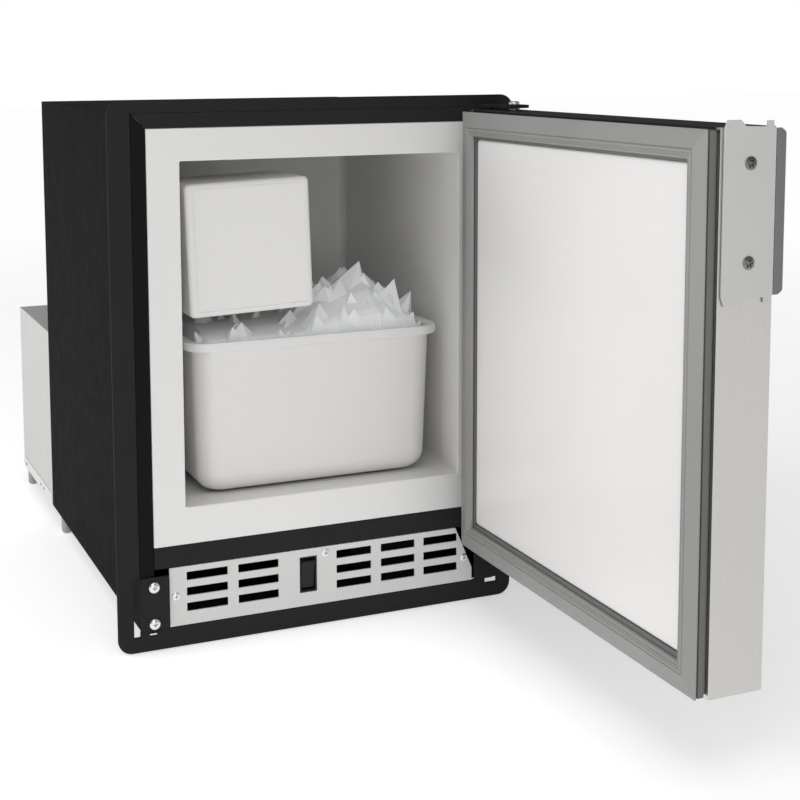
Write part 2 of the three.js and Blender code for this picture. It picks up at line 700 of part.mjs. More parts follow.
function fanBlade() {
  const hub = boreY(0, 0, 13, 0, 14, 18);
  const blades = [];
  for (let i = 0; i < 5; i += 1) {
    const blade = box(6, FAN.radius - 6, 5.8, 7.8, -13, 13);
    blade.translate(0, -6.8, 0).rotateX(0.5).translate(0, 6.8, 0);
    blades.push(blade.rotateY(i * 2 * Math.PI / 5));
  }
  return join(hub, ...blades).translate(FAN.x, FAN.y - 7, FAN.z);
}

// Filter drier with the pipe brazed to its upper end, which runs over to the compressor.
function refrigerantLine() {
  const drier = turned([[0, 0], [3, 0], [3, 12], [11, 22], [11, 84], [3, 94], [3, 106], [0, 106]], 18);
  const pipe = tube([[0, 0, 98], [0, -3, 122], [-16, -12, 138], [-56, -22, 138], [-90, -29, 122],
    [-99, -31, 98], [-100, -30, 85], [-100, -26, 82.3], [-100, -22.7, 82]], 3, 8, 28);
  return join(drier, pipe).translate(8, 410, 40);
}

function controlBox() {
  return box(50, 150, 60, 190, CABINET.bottom + 2, 66);
}

function waterInlet() {
  const { x, z } = INLET;
  const block = box(x - 14, x + 14, HOOD.back - 44, HOOD.back - 12, z - 14, z + 26);
  const stem = turnedY([[0, 0], [8.4, 0], [8.4, 14], [6, 14], [6, 26], [0, 26]], x, HOOD.back - 14, z, 1, 16);
  return join(block, stem);
}

// Nut outside, neck through the wall, flange inside: the mains lead would pass through its middle.
function cableGland() {
  const { x, z } = GLAND;
  return turnedY([[3.4, 0], [10, 0], [10, 3], [6.6, 3], [6.6, 5.4], [11, 5.4], [11, 9], [8, 14], [3.4, 14],
    [3.4, 0]], x, HOOD.back - SHEET - 4, z, 1, 16);
}

function foot() {
  const r = FOOT.radius;
  return turned([[0, 0], [r * 0.8, 0], [r, 3], [r, CABINET.bottom - GAP], [0, CABINET.bottom - GAP]], 14);
}

const DRAIN = { x: -152, y: 488, bore: 2.6, outer: 4.4, length: 9 };

function drainStub() {
  const { bore, outer, length } = DRAIN;
  const high = length - GAP;
  return turned([[bore, 0], [outer, 0], [outer, high], [bore, high], [bore, 0]], 12);
}

// ---- assembly -----------------------------------------------------------------------------
add("mounting_flange", mountingFlange(), BLACK_STEEL);
add("side_panel_left", sidePanel(-1), BLACK_STEEL);
add("side_panel_right", sidePanel(1), BLACK_STEEL);
add("top_panel", topPanel(), BLACK_STEEL);
add("back_panel", backPanel(), BLACK_STEEL);
add("base_pan", basePan(), BLACK_STEEL);
add("cross_rail", crossRail(), BLACK_STEEL);
add("inner_liner", innerLiner(), LINER_WHITE);
add("insulation_foam", insulation(), FOAM);

add("grille_panel", grillePanel(), GREY_PAINT);
for (const [place, [x, z]] of Object.entries(GRILLE_SCREWS)) {
  add(`grille_screw_${place}`, screw(x, FRONT, z, GRILLE_SCREW), ZINC);
}
add("switch_body", switchBody(), BLACK_PLASTIC);
add("switch_rocker", rockerCap(), BLACK_PLASTIC);
add("blank_hinge_plate", blankHingePlate(), BLACK_STEEL);
for (const [place, [x, z]] of Object.entries(CORNER_SCREWS)) {
  const seat = FRONT - GAP - CORNER_PLATE.thick;
  add(`corner_screw_${place}`, screw(x, seat, z, CORNER_SCREW), ZINC);
}

add("hinge_bracket_upper", upperHinge(), BLACK_STEEL);
add("hinge_bracket_lower", lowerHinge(), BLACK_STEEL);
add("hinge_pin_upper", hingePin(UPPER_LEAF + HINGE_PLATE.thick + GAP, false), ZINC);
add("hinge_pin_lower", hingePin(LOWER_LEAF - GAP, true), ZINC);

add("door_skin", doorSkin(), STAINLESS);
add("door_top_cap", doorCap(DOOR.top - CAP, DOOR.top), BLACK_PLASTIC);
add("door_bottom_cap", doorCap(DOOR.bottom, DOOR.bottom + CAP), BLACK_PLASTIC);
add("door_foam", doorFoam(), FOAM);
add("door_inner_panel", innerPanel(), PANEL_WHITE);
add("gasket_retainer", gasketRetainer(), BLACK_PLASTIC);
add("door_gasket", doorGasket(), GASKET_GREY);
add("hinge_bush_upper", hingeBush(DOOR.top - BUSH.length), BLACK_PLASTIC);
add("hinge_bush_lower", hingeBush(DOOR.bottom), BLACK_PLASTIC);
add("latch_plate", latchPlate(), GREY_PAINT);
for (const [place, z] of Object.entries(LATCH_SCREWS)) {
  const seat = DOOR.free - GAP - LATCH.thick;
  add(`latch_screw_${place}`, screw(LATCH_SCREW_X, seat, z, LATCH_SCREW), ZINC);
}
add("latch_lever", latchLever(), GREY_PAINT);

add("ice_bin", iceBin(), BIN_WHITE);

add("module_cover", moduleCover(), LINER_WHITE, mechanism);
add("ejector_drive", ejectorDrive(), BLACK_PLASTIC, mechanism);
add("ice_mould", iceMould(), ALUMINIUM, mechanism);
add("ejector_rake", ejectorRake(), LINER_WHITE, mechanism);
add("shutoff_arm", shutoffArm(), ZINC, mechanism);
add("module_bracket", moduleBracket(), GREY_PAINT, mechanism);
add("fill_tube", fillTube(), LINER_WHITE, mechanism);

add("compressor_hood", compressorHood(), GREY_PAINT);
add("compressor", compressor(), BLACK_STEEL);
add("compressor_mount_front", compressorMount(-34), RUBBER);
add("compressor_mount_rear", compressorMount(34), RUBBER);
add("condenser", condenser(), ALUMINIUM);
add("fan_shroud", fanShroud(), BLACK_PLASTIC);
add("fan_motor", fanMotor(), BLACK_PLASTIC);
add("fan_blade", fanBlade(), BLACK_PLASTIC);
add("refrigerant_line", refrigerantLine(), COPPER);
add("control_box", controlBox(), BLACK_PLASTIC);
add("water_inlet_valve", waterInlet(), BRASS);
add("cable_gland", cableGland(), BLACK_PLASTIC);
add("drain_stub", drainStub(), BLACK_PLASTIC).position.set(DRAIN.x, DRAIN.y, CABINET.bottom - DRAIN.length);
for (const [row, y] of FOOT.rows.entries()) {
  for (const [side, x] of [["left", -FOOT.x], ["right", FOOT.x]]) {
    add(`foot_${row ? "rear" : "middle"}_${side}`, foot(), FOOT_GREY).position.set(x, y, 0);
  }
}

export default iceMaker;
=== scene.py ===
"""Looks of a built-in ice maker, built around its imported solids. Metres, +Z up, door open along -Y."""
import json
import math

import bmesh
import bpy
import numpy as np
from mathutils import Matrix, Vector


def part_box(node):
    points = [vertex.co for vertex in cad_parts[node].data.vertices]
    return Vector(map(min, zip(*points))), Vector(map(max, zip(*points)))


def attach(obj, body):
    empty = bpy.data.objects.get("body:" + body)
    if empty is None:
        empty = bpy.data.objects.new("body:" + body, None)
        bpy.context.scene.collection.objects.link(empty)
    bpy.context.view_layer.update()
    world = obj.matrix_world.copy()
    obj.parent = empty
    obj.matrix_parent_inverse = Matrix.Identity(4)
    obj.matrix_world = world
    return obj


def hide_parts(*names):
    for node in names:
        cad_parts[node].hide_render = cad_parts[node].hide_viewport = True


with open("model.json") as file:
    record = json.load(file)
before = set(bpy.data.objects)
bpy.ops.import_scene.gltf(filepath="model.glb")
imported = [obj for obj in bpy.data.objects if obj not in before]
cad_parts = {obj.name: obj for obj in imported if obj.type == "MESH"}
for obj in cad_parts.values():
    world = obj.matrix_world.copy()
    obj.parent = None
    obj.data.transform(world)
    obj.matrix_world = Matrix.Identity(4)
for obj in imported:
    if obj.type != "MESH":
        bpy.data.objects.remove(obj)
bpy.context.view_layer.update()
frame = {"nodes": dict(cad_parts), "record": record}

MM = 0.001


# ---- shader graphs --------------------------------------------------------------------------
class Field:
    """One value over a surface: an output socket that can be added to and multiplied."""

    def __init__(self, graph, socket):
        self.graph = graph
        self.socket = socket

    def _math(self, operation, first, second):
        return self.graph.node("ShaderNodeMath", {"operation": operation}, {0: first, 1: second})

    def __add__(self, other):
        return self._math("ADD", self, other)

    def __radd__(self, other):
        return self._math("ADD", other, self)

    def __mul__(self, other):
        return self._math("MULTIPLY", self, other)

    def __rmul__(self, other):
        return self._math("MULTIPLY", other, self)


class Graph:
    """The nodes of a material or a world: its one shader, and a method that adds any other node."""

    def __init__(self, owner, shader="Principled BSDF"):
        owner.use_nodes = True
        self.owner = owner
        self.nodes = owner.node_tree.nodes
        self.links = owner.node_tree.links
        self.shader = self.nodes[shader]

    def node(self, kind, settings=None, values=None, out=0):
        """Any node: its settings go in first, then its sockets' values or links."""
        made = self.nodes.new(kind)
        for key, value in (settings or {}).items():
            setattr(made, key, value)
        for key, value in (values or {}).items():
            self.put(made.inputs[key], value)
        return Field(self, made.outputs[out])

    def put(self, socket, value):
        if isinstance(value, Field):
            self.links.new(value.socket, socket)
        else:
            socket.default_value = value

    def set(self, **values):
        """Values or fields for the shader's own sockets, underscores standing for spaces."""
        for key, value in values.items():
            self.put(self.shader.inputs[key.replace("_", " ")], value)

    def place(self, scale=(1, 1, 1)):
        """Object coordinates, stretched per axis."""
        where = self.node("ShaderNodeTexCoord", out="Object")
        return self.node("ShaderNodeMapping", None, {"Vector": where, "Scale": scale})

    def noise(self, scale, detail, stretch=(1, 1, 1)):
        """Smooth noise, its blobs about 1 / scale metres across before the stretch."""
        values = {"Vector": self.place(stretch), "Scale": scale, "Detail": detail}
        return self.node("ShaderNodeTexNoise", None, values)

    def span(self, field, low, high, dark=0.3, light=0.7):
        """Field's middle range, from dark to light, stretched over low to high."""
        values = {"Value": field, "From Min": dark, "From Max": light, "To Min": low, "To Max": high}
        return self.node("ShaderNodeMapRange", None, values)

    def blend(self, factor, first, second):
        """A colour from first at factor 0 to second at factor 1."""
        values = {"Factor": factor, 6: (*first, 1), 7: (*second, 1)}
        return self.node("ShaderNodeMix", {"data_type": "RGBA"}, values, out=2)

    def bump(self, height, depth):
        """A height of 0 to 1 raised over depth metres."""
        values = {"Height": height, "Distance": depth, "Strength": 1.0}
        self.set(Normal=self.node("ShaderNodeBump", None, values))


def shaded(colour, share):
    """The same colour, lighter or darker by a share."""
    return tuple(min(1.0, max(0.0, channel * (1 + share))) for channel in colour)


# Noise scales of tone drift, handling marks, clouding and brushing: the larger, the finer.
DRIFT_SCALE = 9.0
MARK_SCALE = 60.0
CLOUD_SCALE = 7.0
BRUSH_SCALE = 2400.0
COAT_ROUGHNESS = 0.2


def coated(name, colour, rough, grain, depth, vary, specular=0.5, metal=0.0, coat=0.0, marked=0.05):
    """A moulded or painted finish: slow tone drift, faint handling marks, and a fine skin of grain.

    The tone swings by the share vary and the roughness by marked; grain and depth are the skin's
    noise scale and its height in metres."""
    g = Graph(bpy.data.materials.new(name))
    drift = g.noise(DRIFT_SCALE, 3.0)
    marks = g.noise(MARK_SCALE, 4.0)
    g.set(Base_Color=g.blend(g.span(drift, 0, 1), shaded(colour, -vary), shaded(colour, vary)))
    g.set(Roughness=g.span(marks, rough - marked, rough + marked), Metallic=metal)
    g.shader.inputs["Specular IOR Level"].default_value = specular
    g.shader.inputs["Coat Weight"].default_value = coat
    g.shader.inputs["Coat Roughness"].default_value = COAT_ROUGHNESS
    g.bump(g.noise(grain, 2.0), depth)
    return g.owner


def brushed(name, colour, rough, stretch, depth, streak):
    """Brushed or plated metal: streaks in tone, gloss and height, as long as the stretch makes them, over
    a slow cloudy drift. The tone swings by the share streak."""
    g = Graph(bpy.data.materials.new(name))
    lines = g.noise(BRUSH_SCALE, 3.0, stretch)
    cloud = g.noise(CLOUD_SCALE, 2.0)
    tone = g.span(lines, 0, 0.7) + g.span(cloud, 0, 0.3)
    g.set(Base_Color=g.blend(tone, shaded(colour, -streak), shaded(colour, streak)), Metallic=1.0)
    g.set(Roughness=g.span(lines, rough - 0.02, rough + 0.03))
    g.bump(lines, depth)
    return g.owner


def foamed(name, colour):
    """Cut rigid foam: open cells in height and tone."""
    g = Graph(bpy.data.materials.new(name))
    cells = g.node("ShaderNodeTexVoronoi", None, {"Vector": g.place(), "Scale": 700.0})
    g.set(Base_Color=g.blend(g.span(cells, 0, 1, 0, 0.7), shaded(colour, -0.2), colour), Roughness=0.9)
    g.bump(cells, 3e-4)
    return g.owner


def frozen(name):
    """Ice shards: near white, cloudy inside, wet bright facets and a little light passing through."""
    g = Graph(bpy.data.materials.new(name))
    cloud = g.noise(45.0, 4.0)
    colour = g.blend(g.span(cloud, 0, 1), (0.90, 0.905, 0.90), (0.96, 0.96, 0.955))
    g.set(Base_Color=colour, Roughness=g.span(g.noise(160.0, 2.0), 0.3, 0.55))
    g.shader.inputs["Subsurface Weight"].default_value = 0.15
    g.shader.inputs["Subsurface Scale"].default_value = 0.003
    g.shader.inputs["Specular IOR Level"].default_value = 0.4
    g.bump(g.noise(260.0, 3.0), 1.5e-4)
    return g.owner


# How noise is stretched for brushed metal: the smallest number is along the streaks.
UPRIGHT = (1, 1, 0.01)
SHORT_UPRIGHT = (1, 1, 0.2)
EVEN = (1, 1, 1)

FINISHES = {
    "black_steel": coated("black_powder_coat", (0.026, 0.026, 0.0255), 0.6, 1500, 1e-5,
                          vary=0.04, specular=0.03),
    "stainless": brushed("brushed_stainless", (0.60, 0.588, 0.573), 0.27, UPRIGHT, 4e-7, 0.02),
    "grey_paint": coated("grey_satin_paint", (0.68, 0.675, 0.665), 0.45, 1400, 1e-5, vary=0.02),
    "latch_metal": coated("latch_grey_paint", (0.58, 0.575, 0.565), 0.42, 1200, 1e-5,
                          vary=0.02, metal=0.1),
    "liner_plastic": coated("liner_moulding", (0.82, 0.813, 0.80), 0.42, 500, 1e-5, vary=0.01),
    "bin_plastic": coated("bin_moulding", (0.78, 0.772, 0.762), 0.38, 500, 1e-5, vary=0.01, coat=0.1),
    "door_panel_plastic": coated("door_panel_gloss", (0.84, 0.83, 0.825), 0.32, 700, 1e-6,
                                 vary=0.008, specular=0.4, coat=0.2, marked=0.008),
    "gasket_vinyl": coated("grey_vinyl", (0.29, 0.286, 0.279), 0.55, 900, 1e-5, vary=0.04),
    "retainer_plastic": coated("retainer_grey", (0.14, 0.138, 0.134), 0.5, 900, 1e-5, vary=0.05),
    "black_plastic": coated("black_moulding", (0.018, 0.018, 0.018), 0.45, 900, 2e-5,
                            vary=0.1, specular=0.2),
    "rubber": coated("black_rubber", (0.02, 0.02, 0.02), 0.8, 700, 5e-5, vary=0.2, specular=0.25),
    "foot_plastic": coated("foot_grey", (0.36, 0.36, 0.34), 0.6, 700, 5e-5, vary=0.08),
    "zinc_steel": brushed("zinc_plate", (0.80, 0.80, 0.79), 0.28, EVEN, 5e-6, 0.06),
    "aluminium": brushed("cast_aluminium", (0.60, 0.61, 0.62), 0.42, SHORT_UPRIGHT, 1e-5, 0.1),
    "copper": brushed("drawn_copper", (0.72, 0.36, 0.22), 0.32, (1, 1, 0.1), 8e-6, 0.15),
    "brass": brushed("turned_brass", (0.72, 0.55, 0.25), 0.32, SHORT_UPRIGHT, 8e-6, 0.12),
    "foam": foamed("cut_foam", (0.80, 0.72, 0.45)),
}
# Painted shade: the side panels get a darker black than the flange, so that the side light falling on them
# leaves them no lighter than the flange.
SIDE_BLACK_SHADED = coated("black_side_painted_shade", (0.0125, 0.0125, 0.0123), 0.62, 1500, 1e-5,
                     vary=0.03, specular=0.008)
HOUSING_PAINT = coated("housing_paint", (0.56, 0.558, 0.55), 0.5, 1400, 1e-5, vary=0.015, specular=0.3)
STRIP_PAINT = coated("strip_paint", (0.70, 0.698, 0.69), 0.5, 1400, 1e-5, vary=0.015, specular=0.3)
SCREW_DARK = coated("screw_dulled", (0.22, 0.22, 0.215), 0.30, 900, 5e-6, vary=0.08, metal=0.9)
# Painted shade: the latch lever's lip faces away from the light, and it gets a dark grey in place of its
# shadow.
LEVER_SHADE_GREY = coated("lever_painted_shade", (0.17, 0.175, 0.17), 0.42, 900, 1e-5, vary=0.05)
ICE = frozen("ice_shards")


# ---- meshes ---------------------------------------------------------------------------------
SMOOTH_BELOW = math.radians(32)


def shown(name, mesh, material):
    """A mesh put in the scene as an object, smooth across its shallow edges and sharp at the others."""
    mesh.shade_smooth()
    mesh.set_sharp_from_angle(angle=SMOOTH_BELOW)
    made = bpy.data.objects.new(name, mesh)
    bpy.context.scene.collection.objects.link(made)
    mesh.materials.append(material)
    return made


def keep_flats(made):
    """Last of the modifiers: normals weighted by face size, so that flats stay flat."""
    made.modifiers.new("flats", "WEIGHTED_NORMAL").keep_sharp = True


def slot_of(node):
    """The material slot that the record gives a node."""
    return next(part["material_slot"] for part in frame["record"]["subparts"] if part["node"] == node)


def body_of(node):
    """The moving body, or the cabinet, that a node belongs to."""
    bodies = frame["record"]["behaviour"]["bodies"]
    return next(body for body, nodes in bodies.items() if node in nodes)


def piece(name, points, faces, body, slot, material, *replaced):
    """A new surface riding on a body, its faces turned outwards, in place of the CAD nodes named."""
    mesh = bpy.data.meshes.new(name)
    mesh.from_pydata(points.tolist(), [], faces)
    work = bmesh.new()
    work.from_mesh(mesh)
    bmesh.ops.remove_doubles(work, verts=work.verts, dist=1e-7)
    bmesh.ops.recalc_face_normals(work, faces=work.faces)
    work.to_mesh(mesh)
    work.free()
    made = shown(name, mesh, material)
    keep_flats(made)
    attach(made, body)
    if replaced:
        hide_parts(*replaced)
    return made


def grid_faces(rows, columns, wrap_rows):
    """Quads between neighbours of a rows by columns grid whose columns close on themselves."""
    started = rows if wrap_rows else rows - 1
    row, column = np.meshgrid(np.arange(started), np.arange(columns), indexing="ij")
    above, beside = (row + 1) % rows, (column + 1) % columns
    quads = np.stack([row * columns + column, row * columns + beside,
                      above * columns + beside, above * columns + column], -1)
    return quads.reshape(-1, 4).tolist()


def rounded_loop(rect, radius, steps):
    """Four quarter arcs: each corner's centre plus radius times (cos, sin) of a turn that runs on by a
    quarter from corner to corner."""
    a0, a1, b0, b1 = rect
    t = np.linspace(0, math.pi / 2, steps + 1)
    centres = [(a1 - radius, b1 - radius), (a0 + radius, b1 - radius),
               (a0 + radius, b0 + radius), (a1 - radius, b0 + radius)]
    arcs = []
    for quarter, (ca, cb) in enumerate(centres):
        turn = t + quarter * math.pi / 2
        arcs.append(np.stack([ca + radius * np.cos(turn), cb + radius * np.sin(turn)], -1))
    return np.concatenate(arcs)


def stacked(levels, axis, steps=6, wrap=False):
    """Rounded rectangles carried along an axis: row i is level i's loop at its height, the rows joined by
    quads. A level is (rectangle, corner radius, height). Unless the section wraps, both ends are capped."""
    loops = np.array([rounded_loop(rect, radius, steps) for rect, radius, _ in levels])
    rows, columns = loops.shape[:2]
    heights = np.repeat(np.array([height for _, _, height in levels])[:, None], columns, 1)
    order = {"x": (heights, loops[..., 0], loops[..., 1]),
             "y": (loops[..., 0], heights, loops[..., 1]),
             "z": (loops[..., 0], loops[..., 1], heights)}[axis]
    points = np.stack(order, -1).reshape(-1, 3)
    faces = grid_faces(rows, columns, wrap)
    if not wrap:
        faces += [list(range(columns)), list(range((rows - 1) * columns, rows * columns))]
    return points, faces


def inset(rect, by):
    """A rectangle (a0, a1, b0, b1) drawn in on all four sides, or let out if by is negative."""
    a0, a1, b0, b1 = rect
    return (a0 + by, a1 - by, b0 + by, b1 - by)


def arc(start, end, turn, steps=5):
    """Quarter of an ellipse between two (inset, height) pairs: the one that turn names moves first, by
    the share sin t, and the other one follows by 1 - cos t."""
    t = np.linspace(0, math.pi / 2, steps + 1)
    early, late = np.sin(t), 1 - np.cos(t)
    across, along = (early, late) if turn == "inset" else (late, early)
    return [(start[0] + (end[0] - start[0]) * a, start[1] + (end[1] - start[1]) * b)
            for a, b in zip(across, along)]


# ---- solids that keep their shape and get rolled edges ----------------------------------------
WELD = 2e-6
FLAT_WITHIN = math.radians(0.5)


def rolled(node, width, segments=2, material=None):
    """A copy of a CAD solid: its loose triangles welded, its flats joined, and its sharp edges rolled."""
    source = frame["nodes"][node]
    slot = slot_of(node)
    mesh = bpy.data.meshes.new(node + "_rolled")
    coordinates = np.zeros(len(source.data.vertices) * 3, np.float32)
    source.data.vertices.foreach_get("co", coordinates)
    corners = np.zeros(len(source.data.loops), np.int32)
    source.data.loops.foreach_get("vertex_index", corners)
    mesh.from_pydata(coordinates.reshape(-1, 3).tolist(), [], corners.reshape(-1, 3).tolist())
    work = bmesh.new()
    work.from_mesh(mesh)
    bmesh.ops.remove_doubles(work, verts=work.verts, dist=WELD)
    bmesh.ops.dissolve_limit(work, angle_limit=FLAT_WITHIN, verts=work.verts, edges=work.edges)
    work.to_mesh(mesh)
    work.free()
    made = shown(node + "_rolled", mesh, material or FINISHES[slot])
    bevel = made.modifiers.new("rolled_edges", "BEVEL")
    bevel.width = width
    bevel.segments = segments
    bevel.limit_method = "ANGLE"
    bevel.angle_limit = SMOOTH_BELOW
    bevel.use_clamp_overlap = True
    keep_flats(made)
    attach(made, body_of(node))
    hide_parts(node)


# ---- cavity ---------------------------------------------------------------------------------
# The cavity's mouth as left, right, bottom and top, then its depth, wall, corners and steps.
CAVITY = (-123.2 * MM, 129 * MM, 119 * MM, 407.5 * MM)
CAVITY_DEPTH = 273 * MM
LINER_WALL = 2 * MM
FRONT_CORNER = 1 * MM
MOUTH_LIP = 0.9 * MM
MOUTH_CORNER = 1.6 * MM
JAMB_CORNER = 3.4 * MM
JAMB_DEPTH = 34 * MM
JAMB_STEP = 1.4 * MM
ROOM_CORNER = 8 * MM
BACK_BEND = 9 * MM


def liner():
    """Front frame and cavity in one skin: a rolled mouth, a jamb, a small step and rounded far edges."""
    low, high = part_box("inner_liner")
    face = (low.x, high.x, low.z, high.z)
    front, back = low.y, high.y
    outside = inset(CAVITY, -LINER_WALL)
    levels = [(outside, ROOM_CORNER, back), (outside, ROOM_CORNER, front + LINER_WALL),
              (face, FRONT_CORNER, front + LINER_WALL), (face, FRONT_CORNER, front + 0.5 * MM),
              (inset(face, 0.4 * MM), FRONT_CORNER, front)]
    for d, h in arc((-MOUTH_LIP, 0), (0, MOUTH_LIP), "inset"):
        levels.append((inset(CAVITY, d), MOUTH_CORNER - d, front + h))
    levels.append((CAVITY, JAMB_CORNER, front + 2 * LINER_WALL))
    levels.append((CAVITY, JAMB_CORNER, front + JAMB_DEPTH))
    levels.append((inset(CAVITY, -0.25 * MM), JAMB_CORNER, front + JAMB_DEPTH + 0.3 * MM))
    room = inset(CAVITY, -JAMB_STEP)
    levels.append((room, ROOM_CORNER, front + JAMB_DEPTH + 0.5 * MM))
    far = front + CAVITY_DEPTH - 0.5 * MM
    for d, h in arc((0, -BACK_BEND), (BACK_BEND, 0), "height"):
        levels.append((inset(room, d), max(ROOM_CORNER - d / 2, 2 * MM), far + h))
    points, faces = stacked(levels, "y", 8)
    piece("liner_skin", points, faces, "cabinet", "liner_plastic", FINISHES["liner_plastic"],
          "inner_liner")


# The mechanism's cover, in millimetres about its own middle before it is rolled.
COVER_WIDTH = 110
COVER_HEIGHT = 112.6
COVER_DEPTH = 72
COVER_WALL = 2.4
COVER_CORNER = 4.5
COVER_EDGE = 3.5
COVER_ROLL = math.radians(-2)
# Its groove as (distance in from the left edge, depth) across the cut, and how much nearer it lies to
# the bottom edge, and to the right and top ones.
GROOVE = ((6.2, 0), (6.45, 0.55), (6.9, 0.55), (7.15, 0))
GROOVE_LOW = 1.6
GROOVE_FAR = 2.4


def module():
    """The mechanism's cover: a box open behind, its front plate marked off by a fine groove, hung with a
    small roll about the axis to the back."""
    low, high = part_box("module_cover")
    middle = (low + high) / 2
    rect = (-COVER_WIDTH / 2, COVER_WIDTH / 2, -COVER_HEIGHT / 2, COVER_HEIGHT / 2)
    inner = inset(rect, COVER_WALL)
    levels = [(inner, 2.5, COVER_WALL), (inner, 2.5, COVER_DEPTH), (rect, COVER_CORNER, COVER_DEPTH)]
    for d, up in arc((0, COVER_EDGE), (COVER_EDGE, 0), "height"):
        levels.append((inset(rect, d), COVER_CORNER - d / 2, up))
    left, right, bottom, top = rect
    for side, sunk in GROOVE:
        marked = (left + side, right - side + GROOVE_FAR, bottom + side - GROOVE_LOW,
                  top - side + GROOVE_FAR)
        levels.append((marked, 2, sunk))
    points, faces = stacked(levels, "y", 6)
    x, y, z = points.T
    across = x * math.cos(COVER_ROLL) + z * math.sin(COVER_ROLL)
    up = z * math.cos(COVER_ROLL) - x * math.sin(COVER_ROLL)
    points = np.stack([across * MM + middle.x, y * MM + low.y, up * MM + middle.z], -1)
    piece("module_housing", points, faces, "cabinet", "liner_plastic", FINISHES["liner_plastic"],
          "module_cover")


# ---- ice bin and ice ------------------------------------------------------------------------
BIN_WALL = 2.5 * MM
RIM_OUT = 6.6 * MM
RIM_FRONT = 2 * MM
RIM_HEIGHT = 9 * MM
BIN_DRAFT = 3.85 * MM
BIN_FILLET = 17 * MM
BIN_CORNER = 20 * MM
# The rim, by height in mm above its underside: outside as a share of the way from the tub's wall to
# the lip, then over the top as mm inwards.
RIM_OUTSIDE = ((0.02, 0.0), (0.12, 0.6), (0.75, 1.3), (0.95, 1.9),
               (1.0, 3.0), (1.0, 7.0), (0.94, 8.4), (0.8, 9.0))
RIM_INSIDE = ((0.6, 9.0), (1.6, 8.6), (2.5, 7.4))


def bin_body():
    """The tub's outline at its rim, inside the rolled lip, with its lowest and highest z."""
    low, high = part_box("ice_bin")
    outline = (low.x + RIM_OUT, high.x - RIM_OUT, low.y + RIM_FRONT, high.y - RIM_OUT)
    return outline, low.z, high.z


def drafted(rect, z, bottom, top, extra=0.0):
    """The tub narrows evenly downwards: inset by the draft times how far z lies below the rim."""
    return inset(rect, BIN_DRAFT * (top - z) / (top - bottom) + extra)


def ice_tub():
    """Up the outside from a filleted floor, over a rolled lip, and down the inside."""
    rect, bottom, top = bin_body()
    low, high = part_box("ice_bin")
    lip = (low.x, high.x, low.y, high.y)
    levels = []
    for d, h in arc((BIN_FILLET, 0), (0, BIN_FILLET), "inset", 8):
        outer = drafted(rect, bottom + h, bottom, top, d)
        levels.append((outer, max(BIN_CORNER - d * 0.7, 3 * MM), bottom + h))
    under = top - RIM_HEIGHT
    levels.append((drafted(rect, under - 3 * MM, bottom, top), BIN_CORNER, under - 3 * MM))
    for share, h in RIM_OUTSIDE:
        mixed = tuple(a + (b - a) * share for a, b in zip(rect, lip))
        levels.append((mixed, BIN_CORNER, under + h * MM))
    for d, h in RIM_INSIDE:
        levels.append((inset(rect, d * MM), BIN_CORNER - 2 * MM, under + h * MM))
    floor = bottom + BIN_WALL
    for d, h in arc((BIN_WALL, BIN_FILLET), (BIN_WALL + BIN_FILLET, 0), "height", 8):
        inner = drafted(rect, floor + h, bottom, top, d)
        levels.append((inner, max(BIN_CORNER - d * 0.7, 3 * MM), floor + h))
    points, faces = stacked(levels, "z", 10)
    piece("ice_tub", points, faces, "bin", "bin_plastic", FINISHES["bin_plastic"], "ice_bin")


# The heap's rise in mm over x in mm, and its share of that over y in mm.
HEAP_ACROSS = ((-107, -10, 20, 64, 82, 92, 108), (11, 12, 30, 43, 31, 29, 6))
HEAP_ALONG = ((15, 30, 50, 70, 115, 170, 230), (0.12, 0.5, 0.85, 1, 0.9, 0.5, 0.2))
# Big shards on the crest, in mm: tip, how far its foot lies to the side, reach of the foot, and height.
CREST = (((64, 70, 306), (-28, 2), 52, 50), ((90, 50, 291), (-16, 6), 36, 44),
         ((103, 42, 280), (-16, 8), 30, 38), ((24, 66, 290), (-2, 8), 34, 40),
         ((44, 42, 283), (8, 10), 36, 40), ((72, 32, 273), (-6, 12), 34, 36),
         ((98, 26, 264), (-8, 8), 26, 30), ((8, 40, 271), (8, 10), 30, 32))
# How far the heap stays inside the tub's outline, the corner it is bent to, and its make-up.
HEAP_CLEAR = 4.6 * MM
HEAP_CORNER = 16 * MM
HEAP_SEED = 7
LOOSE_SHARDS = 130
MOUND_STEPS = 48
MOUND_EDGE = 8 * MM
MOUND_FOOT = 30 * MM


def heap_top(x, y, rim):
    """A height over the rim: a rise read across the tub times a share read from front to back."""
    return rim + 4 * MM + np.interp(x / MM, *HEAP_ACROSS) * np.interp(y / MM, *HEAP_ALONG) * MM


def kept_inside(points, rect, radius):
    """Points outside a rounded rectangle are pulled to it: the nearest point of a smaller rectangle, and
    from there at most the radius outwards."""
    a0, a1, b0, b1 = inset(rect, radius)
    core = np.stack([np.clip(points[..., 0], a0, a1), np.clip(points[..., 1], b0, b1)], -1)
    out = points[..., :2] - core
    reach = np.maximum(np.linalg.norm(out, axis=-1, keepdims=True), 1e-9)
    held = core + out * np.minimum(1, radius / reach)
    return np.concatenate([held, points[..., 2:]], -1)


def shards(tip, foot, reach, tall, rng, sides=5):
    """Steep flakes: each tip stands over an uneven ring of foot points, reach away and tall below it."""
    count = len(tip)
    turn = rng.uniform(0, 2 * math.pi, (count, 1)) + np.arange(sides) * 2 * math.pi / sides
    turn = turn + rng.uniform(-0.4, 0.4, turn.shape)
    out = reach[:, None] * rng.uniform(0.6, 1.15, turn.shape)
    ring = np.stack([foot[:, :1] + out * np.cos(turn), foot[:, 1:] + out * np.sin(turn),
                     np.repeat((tip[:, 2] - tall)[:, None], sides, 1)], -1)
    return np.concatenate([tip[:, None], ring], 1)


